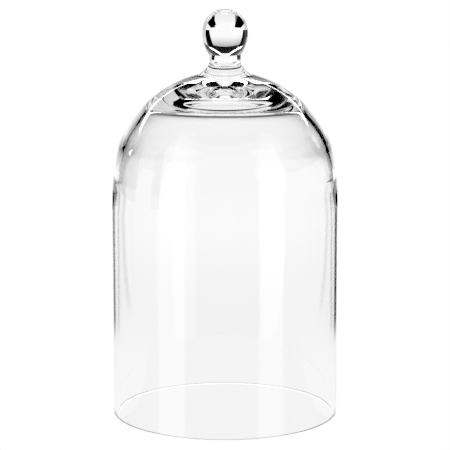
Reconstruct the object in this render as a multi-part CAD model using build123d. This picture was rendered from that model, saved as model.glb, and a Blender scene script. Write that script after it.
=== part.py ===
"""Glass bell jar dome: a blown, open-mouthed bell with a solid ball knob fused to its crown.

Frame: +Z up, origin at the centre of the rim plane, on the axis that every piece turns about.
Units: millimetres.  Each piece is one separate gather of glass, written as its own solid; the pieces
meet face to face where they were fused hot.
"""
from build123d import *
import os
from math import acos, asin, cos, degrees, radians, sin

# ---------------------------------------------------------------- driving dimensions
overall_height = 300.0        # rim plane to the top of the ball
bell_radius = 83.0            # outside of the straight wall
wall = 3.0                    # glass thickness of the straight wall
rim_round = 0.8               # fire-polished rounding of the two rim edges

# The bell's two surfaces leave their straight walls in arcs, each tangent to the one before it.
# A turn is how many degrees the surface has leaned over, from upright, by the end of its arc.
outer_start = 155.5           # height where the outside leaves the straight wall
outer_easing_radius = 190.0   # slow lean below the shoulder
outer_easing_turn = 13.7
outer_shoulder_radius = 40.0
outer_shoulder_turn = 29.0
crown_radius = 86.0           # up to the seat of the knob

inner_start = 169.0           # height where the inside leaves the straight wall
inner_shoulder_radius = 76.4
inner_shoulder_turn = 44.7
inner_corner_radius = 34.0
inner_corner_turn = 74.0      # where the shallow domed ceiling starts

# knob: a flared foot, a short neck and a solid ball
foot_radius = 19.6            # where the foot spreads onto the crown
foot_lip_angle = 35.0         # degrees above level at which the flare meets the crown
foot_top_angle = 70.0         # degrees above level at which the flare meets the neck
neck_radius = 11.8
neck_bottom = 260.3
neck_top = 267.3
neck_waist = 0.25             # how far the neck draws in at half its height
ball_radius = 16.8            # at the ball's widest

# ---------------------------------------------------------------- worked out from those
def on_arc(centre, radius, angle):
    """Point of a circle in the (radius, height) section plane, with the angle in degrees."""
    return (centre[0] + radius * cos(radians(angle)), centre[1] + radius * sin(radians(angle)))


inner_radius = bell_radius - wall
easing_centre = (bell_radius - outer_easing_radius, outer_start)
shoulder_centre = on_arc(easing_centre, outer_easing_radius - outer_shoulder_radius, outer_easing_turn)
crown_centre = on_arc(shoulder_centre, outer_shoulder_radius - crown_radius, outer_shoulder_turn)
seat_turn = degrees(acos((foot_radius - crown_centre[0]) / crown_radius))
seat_height = on_arc(crown_centre, crown_radius, seat_turn)[1]

inner_shoulder_centre = (inner_radius - inner_shoulder_radius, inner_start)
inner_corner_centre = on_arc(
    inner_shoulder_centre, inner_shoulder_radius - inner_corner_radius, inner_shoulder_turn
)
ceiling_edge = on_arc(inner_corner_centre, inner_corner_radius, inner_corner_turn)
ceiling_radius = ceiling_edge[0] / cos(radians(inner_corner_turn))
ceiling_centre = (0, ceiling_edge[1] - ceiling_radius * sin(radians(inner_corner_turn)))
ceiling_height = ceiling_centre[1] + ceiling_radius

ball_centre = overall_height - ball_radius


def arc_between(centre, radius, start_angle, end_angle):
    """Arc of a circle in the section plane from one angle to another, in degrees."""
    middle_angle = (start_angle + end_angle) / 2
    return ThreePointArc(
        on_arc(centre, radius, start_angle),
        on_arc(centre, radius, middle_angle),
        on_arc(centre, radius, end_angle),
    )


def turned(outline):
    """Solid of revolution about Z of a closed outline drawn in the section plane."""
    return revolve(make_face(Plane.XZ * outline), Axis.Z)


def bell():
    """Straight wall, shoulder and thick crown in one shell, open at the bottom."""
    return turned(Curve() + [
        Line((inner_radius + rim_round, 0), (bell_radius - rim_round, 0)),
        arc_between((bell_radius - rim_round, rim_round), rim_round, -90, 0),
        Line((bell_radius, rim_round), (bell_radius, outer_start)),
        arc_between(easing_centre, outer_easing_radius, 0, outer_easing_turn),
        arc_between(shoulder_centre, outer_shoulder_radius, outer_easing_turn, outer_shoulder_turn),
        arc_between(crown_centre, crown_radius, outer_shoulder_turn, seat_turn),
        Line((foot_radius, seat_height), (0, seat_height)),
        Line((0, seat_height), (0, ceiling_height)),
        arc_between(ceiling_centre, ceiling_radius, 90, inner_corner_turn),
        arc_between(inner_corner_centre, inner_corner_radius, inner_corner_turn, inner_shoulder_turn),
        arc_between(inner_shoulder_centre, inner_shoulder_radius, inner_shoulder_turn, 0),
        Line((inner_radius, inner_start), (inner_radius, rim_round)),
        arc_between((inner_radius + rim_round, rim_round), rim_round, 180, 270),
    ])


def knob_foot():
    """Concave flare that spreads from the neck onto the crown."""
    lip = (foot_radius, seat_height)
    shoulder = (neck_radius, neck_bottom)
    flare = Spline(
        lip,
        shoulder,
        tangents=[
            (-cos(radians(foot_lip_angle)), sin(radians(foot_lip_angle))),
            (-cos(radians(foot_top_angle)), sin(radians(foot_top_angle))),
        ],
    )
    return turned(Curve() + [
        Line((0, seat_height), lip),
        flare,
        Line(shoulder, (0, neck_bottom)),
        Line((0, neck_bottom), (0, seat_height)),
    ])


def knob_neck():
    """Short, slightly waisted stem between the foot and the ball."""
    waist = (neck_radius - neck_waist, (neck_bottom + neck_top) / 2)
    return turned(Curve() + [
        Line((0, neck_bottom), (neck_radius, neck_bottom)),
        ThreePointArc((neck_radius, neck_bottom), waist, (neck_radius, neck_top)),
        Line((neck_radius, neck_top), (0, neck_top)),
        Line((0, neck_top), (0, neck_bottom)),
    ])


def knob_ball():
    """Solid ball: a true half-ball above, drawn down to the neck by a longer arc below."""
    drop = ball_centre - neck_top
    draw_in = ball_radius - neck_radius
    lower_radius = (drop**2 + draw_in**2) / (2 * draw_in)
    lower_centre = (ball_radius - lower_radius, ball_centre)
    lower_turn = degrees(asin(drop / lower_radius))
    return turned(Curve() + [
        Line((0, neck_top), (neck_radius, neck_top)),
        arc_between(lower_centre, lower_radius, -lower_turn, 0),
        arc_between((0, ball_centre), ball_radius, 0, 90),
        Line((0, overall_height), (0, neck_top)),
    ])


os.makedirs("parts", exist_ok=True)
for piece in (bell, knob_foot, knob_neck, knob_ball):
    export_step(piece(), f"parts/{piece.__name__}.step")
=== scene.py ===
"""Glass bell jar dome: clear blown glass, lit for a white-background studio picture."""
from math import acos, asin, cos, degrees, exp, pi, radians, sin, tan
import bpy
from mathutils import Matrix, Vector


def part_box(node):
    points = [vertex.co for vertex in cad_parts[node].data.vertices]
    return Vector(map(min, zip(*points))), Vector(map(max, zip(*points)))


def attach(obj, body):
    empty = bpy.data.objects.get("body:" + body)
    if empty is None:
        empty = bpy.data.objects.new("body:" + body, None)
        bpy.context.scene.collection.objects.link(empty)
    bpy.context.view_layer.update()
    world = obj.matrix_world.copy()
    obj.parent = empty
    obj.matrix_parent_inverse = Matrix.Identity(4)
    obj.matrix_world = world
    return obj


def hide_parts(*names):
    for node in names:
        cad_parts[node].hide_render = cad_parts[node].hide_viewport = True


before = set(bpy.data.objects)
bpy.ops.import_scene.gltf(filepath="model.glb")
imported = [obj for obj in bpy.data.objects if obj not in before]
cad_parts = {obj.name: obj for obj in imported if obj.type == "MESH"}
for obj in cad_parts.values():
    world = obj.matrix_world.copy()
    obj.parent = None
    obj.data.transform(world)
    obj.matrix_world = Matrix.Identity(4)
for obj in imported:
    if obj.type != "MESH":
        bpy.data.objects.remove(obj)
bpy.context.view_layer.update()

# ---------------------------------------------------------------- the dome, in metres and degrees
bell_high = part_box("bell")[1]
foot_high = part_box("knob_foot")[1]
neck_low, neck_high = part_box("knob_neck")
ball_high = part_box("knob_ball")[1]

bell_radius = bell_high[0]
seat_height = bell_high[2]
foot_radius = foot_high[0]
neck_radius = neck_high[0]
neck_bottom = neck_low[2]
neck_top = neck_high[2]
ball_radius = ball_high[0]
ball_top = ball_high[2]
ball_centre = ball_top - ball_radius
wall = 0.003
rim_round = 0.0008
neck_waist = 0.00025
foot_lip_angle = 35.0
foot_top_angle = 70.0

# the bell's section: each stretch is (arc radius, angle the surface has turned by its end)
outer_start = 0.1555
outer_arcs = [(0.190, 13.7), (0.040, 29.0)]
crown_radius = 0.086
inner_start = 0.169
inner_arcs = [(0.0764, 44.7), (0.034, 74.0)]

around_steps = 192            # faces round the axis
step_angle = 1.5              # degrees of surface turn per face along an arc
wall_steps = 40               # faces up the straight wall, so that smooth shading keeps it straight
foot_steps = 24               # faces up the foot's flare
neck_steps = 16               # faces up the neck
sharp_angle = 35.0            # edges that turn more than this stay crisp

# ---------------------------------------------------------------- the glass
glass_ior = 1.52
film_scale = 28.0             # patches of handling film to a metre
film_start = 0.45             # noise value at which the film starts
film_full = 0.80              # noise value at which the film is at its most
film_roughness = 0.012        # roughness of the glass where it has been handled most
wave_scale = 22.0             # waves to a metre, round the dome
wave_stretch = 0.3            # waves up the dome for each one round it
wave_depth = 0.00006          # rise and fall of the blown surface

# ---------------------------------------------------------------- the studio, in metres
# Distances are from the axis, and heights are above the plane of the rim.
card_distance = 1.6           # flags, side cards and strip lights
card_top = 0.80
low_flag_top = 0.21
upper_card_distance = 1.65
upper_card_low = 0.72
upper_card_top = 0.90
backdrop_distance = 1.9
backdrop_side = 45.0          # degrees that the backdrop reaches to each side
backdrop_top = 0.70
front_distance = 1.9
soft_box_distance = 1.8
front_low = -1.0
soft_box_top = 1.5
front_top = 2.4
room_radius = 3.2
room_floor = -1.201           # floor of the room below the level of the table
table_level = -0.0010
table_layer = 0.0001          # height of one table layer above the one under it
card_steps = 24               # faces along a card
ring_steps = 48               # faces along a level ring
strip_steps = 40              # faces along a strip light

# Flags that only the ball shows from the camera's side. Their plane is this high at the axis, and falls
# by this slope behind it.
flag_height = 0.165
flag_slope = 0.165

black = 0.0                   # radiance of a flag
room_grey = 0.03              # how bright the studio is where no card or light stands
black_level = 0.075           # scene light that the picture shows as black

# camera, found from the proportions of the outline and the rim ellipse
camera_distance = 1.670
camera_height = 0.4555
aim_height = 0.1407
lens_mm = 184.3
sensor_mm = 36.0


# ---------------------------------------------------------------- outlines
def between(start, end, steps):
    return [start + (end - start) * i / steps for i in range(steps + 1)]


def on_arc(centre, radius, angle):
    """Point of a circle in the (radius, height) section plane, with the angle in degrees."""
    return (centre[0] + radius * cos(radians(angle)), centre[1] + radius * sin(radians(angle)))


def arc_points(centre, radius, start_angle, end_angle):
    """Points along an arc, its start left out, so that stretches can be joined end to end."""
    steps = max(4, round(abs(end_angle - start_angle) / step_angle))
    turn = (end_angle - start_angle) / steps
    return [on_arc(centre, radius, start_angle + turn * i) for i in range(1, steps + 1)]


def wall_points(radius, low, high):
    """Points up a straight wall, its start left out."""
    return [(radius, height) for height in between(low, high, wall_steps)[1:]]


def arc_centres(start, arcs):
    """Centres of arcs that follow an upright wall, each arc tangent to the one before it."""
    centres = []
    centre = start
    last_radius = 0.0
    last_angle = 0.0
    for radius, end_angle in arcs:
        centre = on_arc(centre, last_radius - radius, last_angle)
        centres.append(centre)
        last_radius = radius
        last_angle = end_angle
    return centres


def tangent_arcs(start, arcs):
    """Points of arcs that follow an upright wall, each tangent to the one before it."""
    points = []
    last_angle = 0.0
    for centre, (radius, end_angle) in zip(arc_centres(start, arcs), arcs):
        points += arc_points(centre, radius, last_angle, end_angle)
        last_angle = end_angle
    return points


def crown_arc():
    """The outside's last arc, with the degrees that it has turned where it reaches the foot's edge."""
    centre = arc_centres((bell_radius, outer_start), outer_arcs + [(crown_radius, 90.0)])[-1]
    return (crown_radius, degrees(acos((foot_radius - centre[0]) / crown_radius)))


def bell_outside():
    """From the rim's outer edge up to the edge of the seat."""
    points = arc_points((bell_radius - rim_round, rim_round), rim_round, -90, 0)
    points += wall_points(bell_radius, rim_round, outer_start)
    points += tangent_arcs((bell_radius, outer_start), outer_arcs + [crown_arc()])
    points[-1] = (foot_radius, seat_height)
    return points


def bell_inside():
    """From the rim's inner edge up to the middle of the shallow domed ceiling."""
    inner_radius = bell_radius - wall
    points = [(inner_radius + rim_round, 0.0)]
    points += arc_points((inner_radius + rim_round, rim_round), rim_round, 270, 180)
    points += wall_points(inner_radius, rim_round, inner_start)
    points += tangent_arcs((inner_radius, inner_start), inner_arcs)
    ceiling_edge = points[-1]
    ceiling_turn = inner_arcs[-1][1]
    ceiling_radius = ceiling_edge[0] / cos(radians(ceiling_turn))
    ceiling_centre = (0.0, ceiling_edge[1] - ceiling_radius * sin(radians(ceiling_turn)))
    points += arc_points(ceiling_centre, ceiling_radius, ceiling_turn, 90)
    points[-1] = (0.0, points[-1][1])
    return points


def foot_outline():
    """Concave flare from the crown up to the neck, as a cubic with given slopes at both ends."""
    lip = Vector((foot_radius, seat_height))
    top = Vector((neck_radius, neck_bottom))
    reach = (top - lip).length
    lip_slope = Vector((-cos(radians(foot_lip_angle)), sin(radians(foot_lip_angle)))) * reach
    top_slope = Vector((-cos(radians(foot_top_angle)), sin(radians(foot_top_angle)))) * reach
    points = []
    for t in between(0, 1, foot_steps):
        point = lip * (2 * t**3 - 3 * t**2 + 1) + lip_slope * (t**3 - 2 * t**2 + t)
        point += top * (3 * t**2 - 2 * t**3) + top_slope * (t**3 - t**2)
        points.append((point.x, point.y))
    return points


def neck_outline():
    """Slightly waisted stem."""
    half = (neck_top - neck_bottom) / 2
    middle = (neck_top + neck_bottom) / 2
    rises = between(-1, 1, neck_steps)
    return [(neck_radius - neck_waist * (1 - rise**2), middle + half * rise) for rise in rises]


def ball_outline():
    """Longer arc up from the neck to the widest place, then a true quarter circle to the top."""
    drop = ball_centre - neck_top
    draw_in = ball_radius - neck_radius
    lower_radius = (drop**2 + draw_in**2) / (2 * draw_in)
    lower_turn = degrees(asin(drop / lower_radius))
    points = [(neck_radius, neck_top)]
    points += arc_points((ball_radius - lower_radius, ball_centre), lower_radius, -lower_turn, 0)
    points += arc_points((0.0, ball_centre), ball_radius, 0, 90)
    points[-1] = (0.0, ball_top)
    return points


# ---------------------------------------------------------------- turned meshes
def turned_rings(outline):
    """Vertices of an outline turned about the axis, and the vertex numbers of each of its rings."""
    vertices = []
    rings = []
    for radius, height in outline:
        if radius < 1e-7:
            rings.append([len(vertices)])
            vertices.append((0.0, 0.0, height))
            continue
        rings.append(list(range(len(vertices), len(vertices) + around_steps)))
        for i in range(around_steps):
            turn = 2 * pi * i / around_steps
            vertices.append((radius * cos(turn), radius * sin(turn), height))
    return vertices, rings


def band_faces(lower, upper):
    """Faces between two rings, either of which may be a single point on the axis."""
    faces = []
    for i in range(around_steps):
        j = (i + 1) % around_steps
        if len(lower) == 1:
            faces.append((lower[0], upper[j], upper[i]))
        elif len(upper) == 1:
            faces.append((lower[i], lower[j], upper[0]))
        else:
            faces.append((lower[i], lower[j], upper[j], upper[i]))
    return faces


def turned(name, outline, fused_bands):
    """Closed mesh of revolution of an outline that starts and ends on the axis.
    fused_bands are the indices of outline stretches that lie inside the glass, where pieces join."""
    vertices, rings = turned_rings(outline)
    faces = []
    slots = []
    for band, (lower, upper) in enumerate(zip(rings, rings[1:])):
        faces += band_faces(lower, upper)
        slots += [1 if band in fused_bands else 0] * around_steps
    mesh = bpy.data.meshes.new(name)
    mesh.from_pydata(vertices, [], faces)
    mesh.polygons.foreach_set("material_index", slots)
    mesh.shade_smooth()
    mesh.set_sharp_from_angle(angle=radians(sharp_angle))
    mesh.validate()
    piece = bpy.data.objects.new(name, mesh)
    bpy.context.scene.collection.objects.link(piece)
    return piece


# ---------------------------------------------------------------- materials
def clear_glass():
    """Colourless blown soda-lime glass: a fire polish that is hardly dulled by handling, and a surface
    that rises and falls a little, in waves that run up the dome as it was drawn."""
    material = bpy.data.materials.new("clear_glass")
    material.use_nodes = True
    nodes = material.node_tree.nodes
    links = material.node_tree.links
    shader = nodes["Principled BSDF"]
    shader.inputs["Base Color"].default_value = (1.0, 1.0, 1.0, 1.0)
    shader.inputs["IOR"].default_value = glass_ior
    shader.inputs["Transmission Weight"].default_value = 1.0
    place = nodes.new("ShaderNodeTexCoord")

    film = nodes.new("ShaderNodeTexNoise")
    film.inputs["Scale"].default_value = film_scale
    film.inputs["Detail"].default_value = 4.0
    dulling = nodes.new("ShaderNodeMapRange")
    dulling.inputs["From Min"].default_value = film_start
    dulling.inputs["From Max"].default_value = film_full
    dulling.inputs["To Min"].default_value = 0.0
    dulling.inputs["To Max"].default_value = film_roughness
    links.new(place.outputs["Object"], film.inputs["Vector"])
    links.new(film.outputs["Fac"], dulling.inputs["Value"])
    links.new(dulling.outputs["Result"], shader.inputs["Roughness"])

    drawn = nodes.new("ShaderNodeMapping")
    drawn.inputs["Scale"].default_value = (1.0, 1.0, wave_stretch)
    waves = nodes.new("ShaderNodeTexNoise")
    waves.inputs["Scale"].default_value = wave_scale
    waves.inputs["Detail"].default_value = 1.0
    relief = nodes.new("ShaderNodeBump")
    relief.inputs["Distance"].default_value = wave_depth
    links.new(place.outputs["Object"], drawn.inputs["Vector"])
    links.new(drawn.outputs["Vector"], waves.inputs["Vector"])
    links.new(waves.outputs["Fac"], relief.inputs["Height"])
    links.new(relief.outputs["Normal"], shader.inputs["Normal"])
    return material


def fused_seam():
    """The face inside the glass where two gathers were joined hot: nothing is seen there."""
    material = bpy.data.materials.new("fused_seam")
    material.use_nodes = True
    shader = material.node_tree.nodes["Principled BSDF"]
    shader.inputs["Base Color"].default_value = (1.0, 1.0, 1.0, 1.0)
    shader.inputs["Alpha"].default_value = 0.0
    return material


# ---------------------------------------------------------------- pieces of glass
def add_glass(node, outline, fused_bands, materials):
    """Piece of glass that stands for one CAD node."""
    piece = turned(node + "_glass", outline, fused_bands)
    for material in materials:
        piece.data.materials.append(material)
    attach(piece, "root")
    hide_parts(node)


def make_glass():
    """The bell's outline runs down its inside and up its outside. Each knob piece's runs upwards."""
    materials = (clear_glass(), fused_seam())
    bell = list(reversed(bell_inside())) + bell_outside() + [(0.0, seat_height)]
    foot = [(0.0, seat_height)] + foot_outline() + [(0.0, neck_bottom)]
    neck = [(0.0, neck_bottom)] + neck_outline() + [(0.0, neck_top)]
    ball = [(0.0, neck_top)] + ball_outline()
    add_glass("bell", bell, {len(bell) - 2}, materials)
    add_glass("knob_foot", foot, {0, len(foot) - 2}, materials)
    add_glass("knob_neck", neck, {0, len(neck) - 2}, materials)
    add_glass("knob_ball", ball, {0}, materials)


# ---------------------------------------------------------------- studio lights
def light_material(name, radiance):
    material = bpy.data.materials.new(name)
    material.use_nodes = True
    nodes = material.node_tree.nodes
    nodes.clear()
    output = nodes.new("ShaderNodeOutputMaterial")
    emission = nodes.new("ShaderNodeEmission")
    emission.inputs["Strength"].default_value = radiance
    material.node_tree.links.new(emission.outputs["Emission"], output.inputs["Surface"])
    return material


def fading_light(name, measured, places, radiances):
    """Light that changes smoothly from the first radiance, at the first place, to the second.
    A place is a height, or a distance from the middle of the rim."""
    material = light_material(name, 1.0)
    nodes = material.node_tree.nodes
    links = material.node_tree.links
    place = nodes.new("ShaderNodeTexCoord")
    fall = nodes.new("ShaderNodeMapRange")
    fall.interpolation_type = "SMOOTHSTEP"
    fall.inputs["From Min"].default_value = places[0]
    fall.inputs["From Max"].default_value = places[1]
    fall.inputs["To Min"].default_value = radiances[0]
    fall.inputs["To Max"].default_value = radiances[1]
    if measured == "height":
        measure = nodes.new("ShaderNodeSeparateXYZ")
        links.new(place.outputs["Object"], measure.inputs["Vector"])
        links.new(measure.outputs["Z"], fall.inputs["Value"])
    else:
        measure = nodes.new("ShaderNodeVectorMath")
        measure.operation = "LENGTH"
        links.new(place.outputs["Object"], measure.inputs[0])
        links.new(measure.outputs["Value"], fall.inputs["Value"])
    links.new(fall.outputs["Result"], nodes["Emission"].inputs["Strength"])
    return material


# ---------------------------------------------------------------- studio shapes
def stage_mesh(name, vertices, faces, material, seen=False):
    """Studio piece. An unseen one lights the glass and shows only in it, never straight to the camera."""
    mesh = bpy.data.meshes.new(name)
    mesh.from_pydata(vertices, [], faces)
    mesh.materials.append(material)
    obj = bpy.data.objects.new(name, mesh)
    obj.visible_camera = seen
    bpy.context.scene.collection.objects.link(obj)
    return obj


def stage_panel(name, corners, material, seen=False):
    """Studio piece with one face of four corners."""
    return stage_mesh(name, corners, [(0, 1, 2, 3)], material, seen)


def stage_strip(name, rungs, material):
    """Studio piece that runs along pairs of points, one on each of its long edges."""
    vertices = [point for rung in rungs for point in rung]
    faces = [(2 * i, 2 * i + 1, 2 * i + 3, 2 * i + 2) for i in range(len(rungs) - 1)]
    return stage_mesh(name, vertices, faces, material)


def round_place(side, distance, height):
    """Point at a distance from the axis. Sides are degrees to the right of straight behind the dome."""
    return (distance * sin(radians(side)), distance * cos(radians(side)), height)


def curved_card(name, side_from, side_to, distance, low, high, material):
    """Upright card bent round the dome."""
    sides = between(side_from, side_to, card_steps)
    rungs = [(round_place(side, distance, low), round_place(side, distance, high)) for side in sides]
    return stage_strip(name, rungs, material)


def level_sector(name, side_from, side_to, near, far, height, material):
    """Level part of a ring round the axis."""
    sides = between(side_from, side_to, ring_steps)
    rungs = [(round_place(side, near, height), round_place(side, far, height)) for side in sides]
    return stage_strip(name, rungs, material)


def table_height(layer):
    """A higher layer of the table lies a hair above a lower one."""
    return table_level + table_layer * layer


# ---------------------------------------------------------------- studio pieces
def make_floor():
    """White floor, lit evenly from within, that only the camera sees."""
    half = 12.0
    height = -0.0002
    corners = [(-half, -half, height), (half, -half, height), (half, half, height), (-half, half, height)]
    floor = stage_panel("floor", corners, light_material("floor", 1.0), seen=True)
    floor.visible_glossy = False
    floor.visible_transmission = False


def make_table():
    """What the glass shows of the table: white under and behind the dome, dimmer beside it, and a thin
    ring of light under the rim, which keeps the rim's line pale."""
    white = fading_light("table_white", "distance", (0.30, 0.80), (0.93, 1.0))
    dimmer = fading_light("table_side", "distance", (0.20, 0.45), (0.93, 0.75))
    rim_light = light_material("rim_light", 1.15)
    under_radius = bell_radius + 0.005
    side_end = 105.0
    side_reach = 3.0
    ground = table_height(0)
    level_sector("table_under", -180, 180, 0.0, under_radius, table_height(1), white)
    level_sector("rim_light", -180, 180, bell_radius - wall, bell_radius, table_height(3), rim_light)
    level_sector("table_back", -backdrop_side, backdrop_side, 0.0, backdrop_distance, ground, white)
    level_sector("table_left", -side_end, -backdrop_side, 0.0, side_reach, ground, dimmer)
    level_sector("table_right", backdrop_side, side_end, 0.0, side_reach, ground, dimmer)


def mirrored_place(turn, reach):
    """Place on the table that the wall mirrors, at a reach from the wall.
    The wall's turn is in degrees from the line of it that is nearest the camera."""
    wall_place = Vector(round_place(180 - turn, bell_radius, table_height(2)))
    return wall_place + Vector(round_place(180 - 2 * turn, reach, 0.0))


def make_edge_panels():
    """Dark panels on the table that the wall mirrors as an even dark line up each side."""
    outer_turn = 83.2
    near = 0.15
    far = 1.10
    for hand, name, inner_turn, darkest in ((-1, "left", 78.0, 0.17), (1, "right", 77.2, 0.09)):
        material = fading_light("dark_edge_" + name, "distance", (0.24, 0.36), (0.9, darkest))
        corners = [
            mirrored_place(hand * outer_turn, near), mirrored_place(hand * outer_turn, far),
            mirrored_place(hand * inner_turn, far), mirrored_place(hand * inner_turn, near),
        ]
        stage_panel("dark_edge_" + name, corners, material)


def lifted(x, y):
    """Place on the plane of the lifted flags that hides the table's point (x, y) from the ball.
    The plane falls away behind the dome as the camera's view does, so that the wall hardly shows it."""
    part = (ball_centre - flag_height) / (ball_centre - flag_slope * y)
    return (part * x, part * y, ball_centre * (1 - part))


def make_lifted_flags():
    """Black flags beside the shoulder that the ball shows as its two upper dark patches."""
    material = light_material("ball_flag", black)
    left_corners = [lifted(-0.19, 0.21), lifted(-0.31, 1.00), lifted(-0.62, 0.97), lifted(-0.50, 0.30)]
    right_corners = [lifted(0.18, 0.31), lifted(0.24, 0.82), lifted(0.52, 0.97), lifted(0.44, 0.44)]
    stage_panel("lifted_flag_left", left_corners, material)
    stage_panel("lifted_flag_right", right_corners, material)


def make_front():
    """The room on the camera's side, with two tall soft boxes that show as light bands down the wall."""
    room = fading_light("card_front", "height", (-0.10, 0.40), (0.70, 0.50))
    left = light_material("band_left", 1.25)
    right = light_material("band_right", 1.20)
    curved_card("card_front", 108, 252, front_distance, front_low, front_top, room)
    curved_card("band_left", -109, -139, soft_box_distance, front_low, soft_box_top, left)
    curved_card("band_right", 146, 119.4, soft_box_distance, front_low, soft_box_top, right)


def make_backdrop():
    """Paper behind the dome, brightest at the table and falling off upwards."""
    paper = fading_light("backdrop", "height", (0.15, 0.85), (1.0, 0.40))
    curved_card("backdrop", -backdrop_side, backdrop_side, backdrop_distance, -0.01, backdrop_top, paper)


def make_lower_room():
    """The room below the level of the table, for views that pass over the table's edge."""
    shade = light_material("lower_room", 0.75)
    curved_card("lower_wall", -180, 180, room_radius, room_floor, 0.0, shade)
    level_sector("lower_floor", -180, 180, 0.0, room_radius, room_floor, shade)


def seen_from_ball(side, elevation, reach):
    """Point in a direction from the middle of the ball, at a reach across the table."""
    return round_place(side, reach, ball_centre + reach * tan(radians(elevation)))


def leaning_flag(name, low_side, high_side, outer_side, material):
    """Flag that leans away from the dome, so that the ball shows it as a lower dark patch, and the
    shoulder only as a thin dark line."""
    low_elevation = -10.0
    low_reach = 0.5
    high_elevation = 17.0
    high_reach = 1.0
    corners = [
        seen_from_ball(low_side, low_elevation, low_reach),
        seen_from_ball(outer_side, low_elevation, low_reach),
        seen_from_ball(outer_side, high_elevation, high_reach),
        seen_from_ball(high_side, high_elevation, high_reach),
    ]
    stage_panel(name, corners, material)


def make_cards():
    """Black flags behind the dome at both sides, grey cards above them, and the grey room beside it."""
    flag = light_material("flag", black)
    grey = light_material("upper_card", 0.35)
    left = light_material("card_left", 0.75)
    right = light_material("card_right", 0.8)
    curved_card("flag_left", -50, -79, card_distance, 0.0, card_top, flag)
    curved_card("low_flag_left", -40, -50, card_distance, 0.0, low_flag_top, flag)
    leaning_flag("leaning_flag_left", -40, -30, -50, flag)
    curved_card("flag_far_left", -101, -112, card_distance, 0.0, card_top, flag)
    curved_card("card_left", -79, -101, card_distance, 0.0, card_top, left)
    curved_card("low_flag_right", 32, 45, card_distance, 0.0, low_flag_top, flag)
    leaning_flag("leaning_flag_right", 32, 22, 45, flag)
    curved_card("upper_card_left", -26, -52, upper_card_distance, upper_card_low, upper_card_top, grey)
    curved_card("upper_card_right", 24, 48, upper_card_distance, upper_card_low, upper_card_top, grey)
    curved_card("card_right", 45, 119, card_distance, 0.0, card_top, right)


def strip_edges(side, outer_side):
    """Heights of a strip light's lower and upper edges. It rises and thickens towards straight behind,
    droops a little outwards, and tapers over its last degrees."""
    base_height = 0.93
    droop = 0.0015
    peak_rise = 0.42
    peak_spread = 15.0
    base_half = 0.050
    bulge_half = 0.085
    bulge_spread = 16.0
    taper_span = 8.0
    tip = 0.1
    middle = base_height + peak_rise * exp(-(side / peak_spread) ** 2) - droop * side
    taper = min(1.0, (outer_side - side) / taper_span + tip)
    half = base_half * taper + bulge_half * exp(-(side / bulge_spread) ** 2)
    return middle - half, middle + half


def make_strip_lights():
    """Two thin lights that rise towards each other behind the dome."""
    light = light_material("strip_light", 5.0)
    inner_side = 8.0
    for hand, outer_side in ((-1, 47.0), (1, 40.0)):
        rungs = []
        for side in between(inner_side, outer_side, strip_steps):
            low, high = strip_edges(side, outer_side)
            turned_side = hand * side
            rungs.append((
                round_place(turned_side, card_distance, low), round_place(turned_side, card_distance, high)
            ))
        stage_strip("strip_light", rungs, light)


def make_overhead_light():
    """Soft light that leans over the dome from behind."""
    half = 0.22
    far = (1.75, 1.12)            # distance behind the axis, and height
    near = (0.20, 1.70)
    corners = [(-half, *far), (half, *far), (half, *near), (-half, *near)]
    stage_panel("overhead_light", corners, light_material("overhead_light", 1.0))


def make_world():
    """White where the camera looks past everything, and a dim studio in reflections."""
    world = bpy.data.worlds.new("studio")
    bpy.context.scene.world = world
    world.use_nodes = True
    nodes = world.node_tree.nodes
    links = world.node_tree.links
    nodes.clear()
    output = nodes.new("ShaderNodeOutputWorld")
    mix = nodes.new("ShaderNodeMixShader")
    path = nodes.new("ShaderNodeLightPath")
    room = nodes.new("ShaderNodeBackground")
    room.inputs["Color"].default_value = (room_grey, room_grey, room_grey, 1.0)
    paper = nodes.new("ShaderNodeBackground")
    paper.inputs["Color"].default_value = (1.0, 1.0, 1.0, 1.0)
    links.new(path.outputs["Is Camera Ray"], mix.inputs["Fac"])
    links.new(room.outputs["Background"], mix.inputs[1])
    links.new(paper.outputs["Background"], mix.inputs[2])
    links.new(mix.outputs["Shader"], output.inputs["Surface"])


# ---------------------------------------------------------------- picture
def add_camera():
    data = bpy.data.cameras.new("camera")
    data.lens = lens_mm
    data.sensor_width = sensor_mm
    data.clip_end = 50.0
    camera = bpy.data.objects.new("camera", data)
    bpy.context.scene.collection.objects.link(camera)
    camera.location = (0.0, -camera_distance, camera_height)
    aim = Vector((0.0, 0.0, aim_height)) - camera.location
    camera.rotation_euler = aim.to_track_quat("-Z", "Y").to_euler()
    bpy.context.scene.camera = camera


def set_tones():
    """Plain tones, with the darkest ones taken down to black."""
    view = bpy.context.scene.view_settings
    view.view_transform = "Standard"
    view.use_curve_mapping = True
    view.curve_mapping.black_level = (black_level, black_level, black_level)
    view.curve_mapping.update()


def set_light_paths():
    """Enough bounces for rays that are reflected many times inside the thick crown and ball."""
    cycles = bpy.context.scene.cycles
    cycles.max_bounces = 32
    cycles.transmission_bounces = 32
    cycles.glossy_bounces = 24
    cycles.transparent_max_bounces = 48
    cycles.blur_glossy = 0.0


make_glass()
make_floor()
make_table()
make_edge_panels()
make_lifted_flags()
make_front()
make_backdrop()
make_lower_room()
make_cards()
make_strip_lights()
make_overhead_light()
make_world()
add_camera()
set_tones()
set_light_paths()
